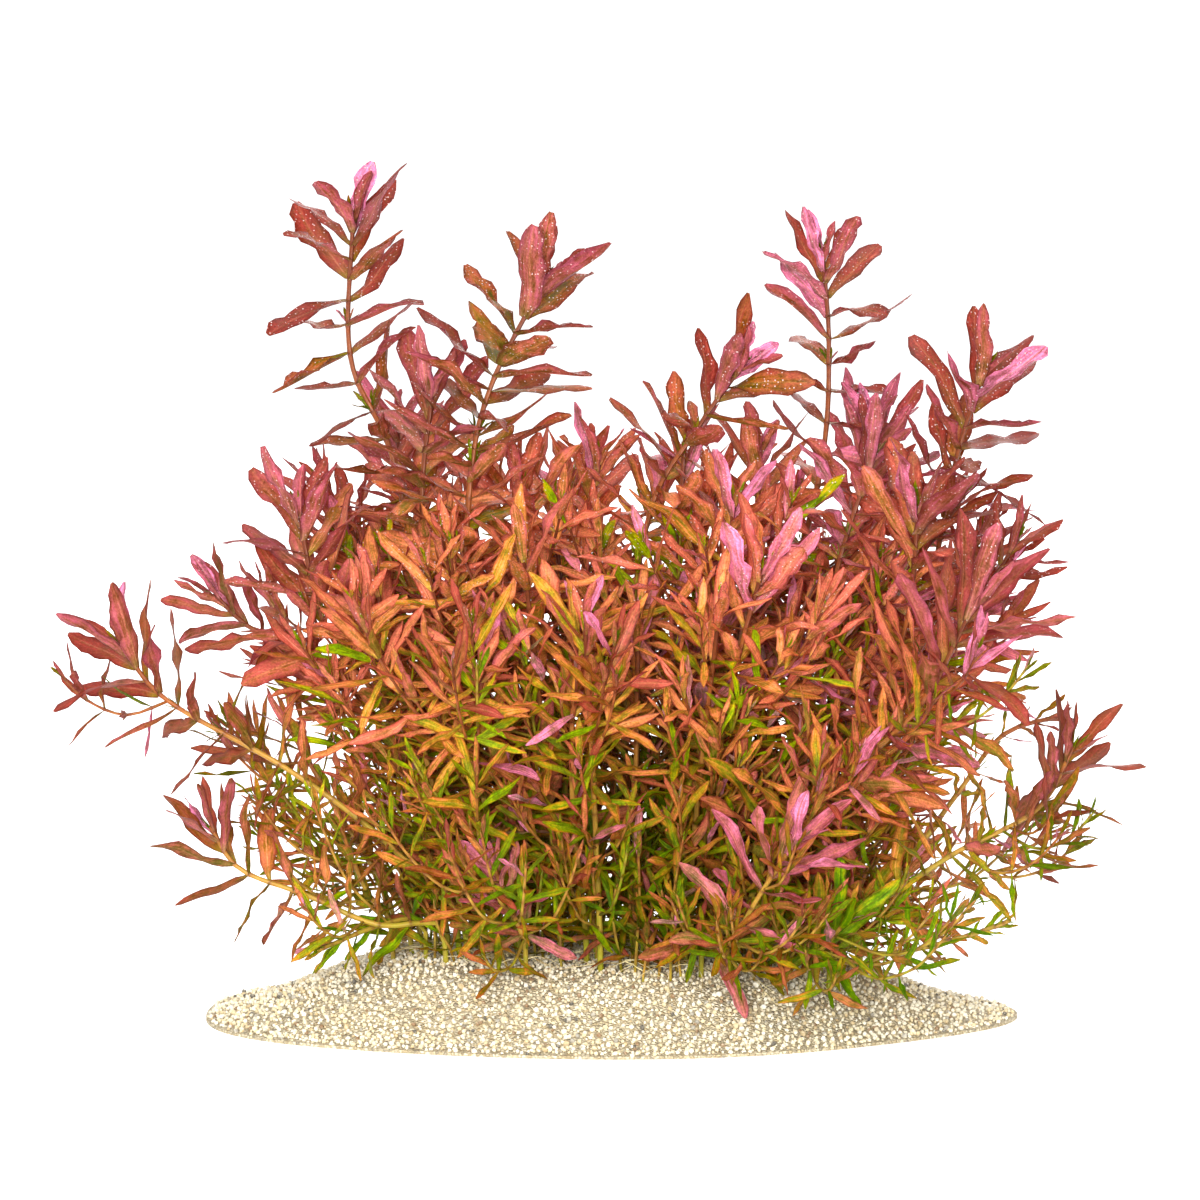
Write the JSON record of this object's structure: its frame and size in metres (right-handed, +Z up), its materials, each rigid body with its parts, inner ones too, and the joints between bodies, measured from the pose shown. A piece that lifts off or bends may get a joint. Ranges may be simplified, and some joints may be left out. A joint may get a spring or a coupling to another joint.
{
  "type": "rotala",
  "caption": "Bushy clump of rotala stem plants with opposite narrow copper-red leaves, rooted in a low flat-bottomed mound of pale gravel",
  "frame": {"origin": "middle of the gravel mound's flat underside, on the surface that it rests on", "axes": "+X runs along the clump to the right as seen from its front, -Y is the front and +Z is up"},
  "size_m": [0.3233, 0.1809, 0.257],
  "materials": {
    "gravel": "loose matte grains, cream with tan, grey and a few dark ones",
    "copper_foliage": "satin living leaf, copper red above, pink below",
    "rose_foliage": "satin living leaf, rose red with pink undersides",
    "olive_foliage": "satin living leaf, red-brown at the tips to olive below",
    "green_foliage": "satin living leaf, yellow-green",
    "hair_roots": "fine pale fibres"
  },
  "bodies": {
    "root": {"gravel_bed": "gravel", "shoot_back_left": "copper_foliage", "shoot_back_right": "copper_foliage", "shoot_big_right": "rose_foliage", "shoot_creeping_left": "green_foliage", "shoot_crown_right": "copper_foliage", "shoot_far_left": "copper_foliage", "shoot_far_right": "olive_foliage", "shoot_front_left": "rose_foliage", "shoot_front_middle": "rose_foliage", "shoot_front_orange": "green_foliage", "shoot_front_red": "rose_foliage", "shoot_front_rose": "rose_foliage", "shoot_front_small": "rose_foliage", "shoot_inner_01": "copper_foliage", "shoot_inner_02": "copper_foliage", "shoot_inner_03": "copper_foliage", "shoot_inner_04": "copper_foliage", "shoot_inner_05": "copper_foliage", "shoot_inner_06": "copper_foliage", "shoot_inner_07": "copper_foliage", "shoot_inner_08": "copper_foliage", "shoot_inner_09": "copper_foliage", "shoot_inner_10": "copper_foliage", "shoot_inner_11": "rose_foliage", "shoot_inner_12": "copper_foliage", "shoot_inner_13": "copper_foliage", "shoot_inner_14": "copper_foliage", "shoot_inner_15": "olive_foliage", "shoot_inner_16": "rose_foliage", "shoot_inner_17": "copper_foliage", "shoot_inner_18": "olive_foliage", "shoot_leaning_centre": "copper_foliage", "shoot_low_01": "olive_foliage", "shoot_low_02": "olive_foliage", "shoot_low_03": "olive_foliage", "shoot_low_04": "olive_foliage", "shoot_low_05": "olive_foliage", "shoot_low_06": "olive_foliage", "shoot_low_07": "olive_foliage", "shoot_low_08": "olive_foliage", "shoot_low_left": "olive_foliage", "shoot_mid_centre": "copper_foliage", "shoot_mid_front": "copper_foliage", "shoot_mid_left": "copper_foliage", "shoot_mid_right": "copper_foliage", "shoot_mid_upper": "copper_foliage", "shoot_middle_left": "copper_foliage", "shoot_right_inner": "copper_foliage", "shoot_runner_low": "green_foliage", "shoot_runner_right": "olive_foliage", "shoot_tall_left": "copper_foliage", "shoot_tall_mid": "copper_foliage", "shoot_tall_right": "copper_foliage", "shoot_upper_left": "copper_foliage", "shoot_upper_right": "copper_foliage"}
  },
  "joints": []
}
